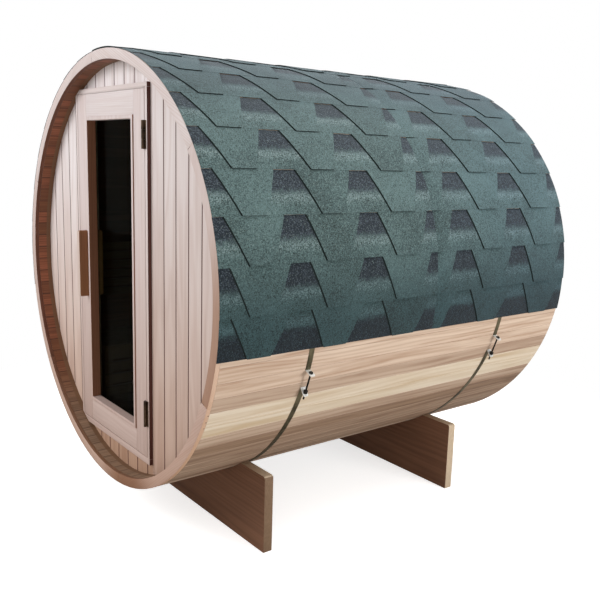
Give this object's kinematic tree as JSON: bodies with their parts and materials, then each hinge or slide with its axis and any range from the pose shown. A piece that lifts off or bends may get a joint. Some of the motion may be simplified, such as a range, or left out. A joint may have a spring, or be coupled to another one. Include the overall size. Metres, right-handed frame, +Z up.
{
  "type": "barrel sauna",
  "caption": "Cylindrical outdoor sauna cabin of wooden staves lying on two cradle planks, with board end walls, a glazed hinged door, a shingle roof skin and steel straps.",
  "frame": {"origin": "on the ground under the middle of the barrel", "axes": "+X to the right as seen from the door, +Y from the door end to the rear end, +Z up"},
  "size_m": [1.817, 1.918, 1.981],
  "materials": {
    "stave_wood": "smooth",
    "ring_wood": "smooth",
    "wall_wood": "smooth",
    "frame_wood": "smooth",
    "door_wood": "smooth",
    "glass": "clear",
    "handle_wood": "smooth",
    "bronze": "dark bronze",
    "shingle": "mineral granules",
    "steel": "brushed",
    "cradle_wood": "rough",
    "interior_wood": "smooth"
  },
  "bodies": {
    "barrel": {"bench_backrest": "interior_wood", "bench_bearers": "interior_wood", "bench_seat": "interior_wood", "bench_skirt": "interior_wood", "cradle_front": "cradle_wood", "cradle_rear": "cradle_wood", "door_head": "frame_wood", "door_jamb_left": "frame_wood", "door_jamb_right": "frame_wood", "door_sill": "frame_wood", "floor_boards": "interior_wood", "floor_joists": "interior_wood", "frame_hinge_leaves": "bronze", "front_ring_1": "ring_wood", "front_ring_2": "ring_wood", "front_ring_3": "ring_wood", "front_ring_4": "ring_wood", "front_ring_5": "ring_wood", "front_ring_6": "ring_wood", "front_wall_left": "wall_wood", "front_wall_over_door": "wall_wood", "front_wall_right": "wall_wood", "front_wall_under_door": "wall_wood", "rear_wall": "wall_wood", "shingle_ridge": "shingle", "shingles_left": "shingle", "shingles_right": "shingle", "staves_01": "stave_wood", "staves_02": "stave_wood", "staves_03": "stave_wood", "staves_04": "stave_wood", "staves_05": "stave_wood", "staves_06": "stave_wood", "staves_07": "stave_wood", "staves_08": "stave_wood", "staves_09": "stave_wood", "staves_10": "stave_wood", "strap_front": "steel", "strap_rear": "steel"},
    "door": {"door_beads": "door_wood", "door_glass": "glass", "door_handles": "handle_wood", "door_hinge_leaves": "bronze", "door_rails": "door_wood", "door_stiles": "door_wood"}
  },
  "joints": [
    {"name": "door_hinge", "type": "hinge", "parent": "barrel", "child": "door", "pos_m": [0.2465, -0.904, 1.0775], "axis": [0, 0, 1], "range_deg": [0, 110]}
  ]
}
